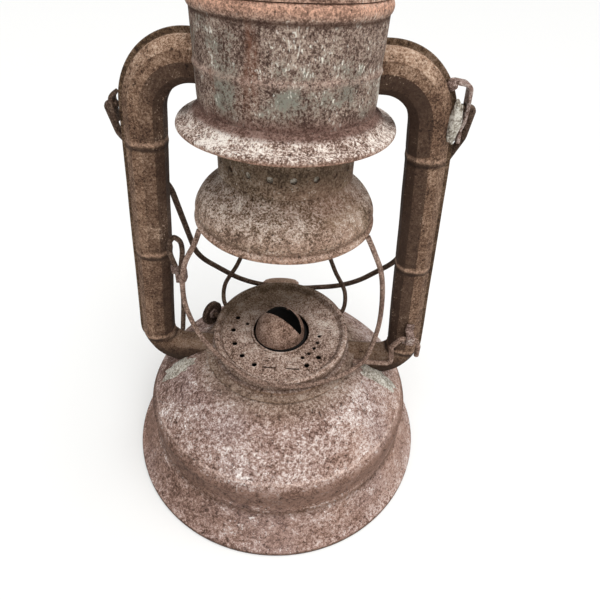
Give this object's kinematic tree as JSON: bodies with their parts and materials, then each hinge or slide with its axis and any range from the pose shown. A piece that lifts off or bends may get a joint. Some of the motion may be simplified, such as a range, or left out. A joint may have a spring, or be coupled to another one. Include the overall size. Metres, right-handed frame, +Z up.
{
  "type": "kerosene lantern",
  "caption": "Rusted tubular kerosene lantern: domed fount, splayed air tubes, hooded canopy, lifting globe basket on a lever, wick drive, screw filler cap and swinging wire bail; no globe.",
  "frame": {"origin": "middle of the foot on the surface that it stands on", "axes": "+Z up, -Y towards the front guard, +X to the side with the lift lever"},
  "size_m": [0.17, 0.17, 0.2728],
  "materials": {
    "rusted_fount": "mottled dry rust, pinkish brown",
    "rusted_tube": "dark even rust",
    "rusted_canopy": "rust with remains of grey zinc",
    "rusted_plate": "dry pale rust",
    "rusted_burner": "dry rust, reddish",
    "dark_wire": "dark rust",
    "pale_wire": "pale pinkish rust",
    "strap": "worn zinc, rusting",
    "wick_cotton": "woven, dry",
    "gasket_rubber": "matt"
  },
  "bodies": {
    "frame": {"fount_shell": "rusted_fount", "fount_base": "rusted_fount", "air_chamber": "rusted_fount", "left_tube": "rusted_tube", "right_tube": "rusted_tube", "canopy_drum": "rusted_canopy", "canopy_skirt": "rusted_canopy", "canopy_dome": "rusted_canopy", "inner_chimney": "rusted_canopy", "crown_collar": "rusted_canopy", "chimney_cap": "rusted_canopy", "burner_body": "rusted_burner", "burner_cone": "rusted_burner", "wick_tube": "rusted_burner", "filler_neck": "rusted_fount", "left_ear": "strap", "right_ear": "strap", "lever_staple": "strap", "guide_wire": "dark_wire", "guide_clip": "strap"},
    "globe_basket": {"bell": "rusted_canopy", "bell_collar": "rusted_canopy", "globe_plate": "rusted_plate", "front_guard": "pale_wire", "rear_guard_left": "dark_wire", "rear_guard_right": "dark_wire"},
    "lift_lever": {"lift_lever": "pale_wire"},
    "bail": {"bail": "dark_wire"},
    "wick_drive": {"wick_shaft": "dark_wire", "wick_sprocket_a": "dark_wire", "wick_sprocket_b": "dark_wire", "wick_knob": "dark_wire"},
    "wick": {"wick": "wick_cotton"},
    "filler_gasket": {"filler_gasket": "gasket_rubber"},
    "filler_cap": {"filler_cap": "rusted_fount"}
  },
  "joints": [
    {"name": "lever_turn", "type": "hinge", "parent": "frame", "child": "lift_lever", "pos_m": [0.0656, -0.0125, 0.088], "axis": [-1, 0, 0], "range_deg": [0, 95]},
    {"name": "basket_lift", "type": "slide", "parent": "frame", "child": "globe_basket", "axis": [0, 0, 1], "range_m": [0, 0.0198]},
    {"name": "bail_swing", "type": "hinge", "parent": "frame", "child": "bail", "pos_m": [0, 0, 0.194], "axis": [0.999, 0, 0.0451], "range_deg": [0, 305]},
    {"name": "knob_turn", "type": "hinge", "parent": "frame", "child": "wick_drive", "pos_m": [-0.00271, -0.0049, 0.0717], "axis": [0.8746, -0.4848, 0], "range_deg": [-90, 90]},
    {"name": "wick_rise", "type": "slide", "parent": "frame", "child": "wick", "axis": [0, 0, 1], "range_m": [-0.0072, 0.0072]},
    {"name": "cap_turn", "type": "hinge", "parent": "filler_gasket", "child": "filler_cap", "pos_m": [-0.00398, 0.05686, 0.05314], "axis": [-0.038, 0.5433, 0.8387], "range_deg": [0, 864]},
    {"name": "cap_rise", "type": "slide", "parent": "frame", "child": "filler_gasket", "axis": [-0.038, 0.5433, 0.8387], "range_m": [0, 0.0061]}
  ],
  "couplings": [
    {"joint": "lever_turn", "follows": "basket_lift", "rad_per_m": 83.333},
    {"joint": "wick_rise", "follows": "knob_turn", "m_per_rad": 0.0045},
    {"joint": "cap_rise", "follows": "cap_turn", "m_per_rad": 0.00039789}
  ]
}
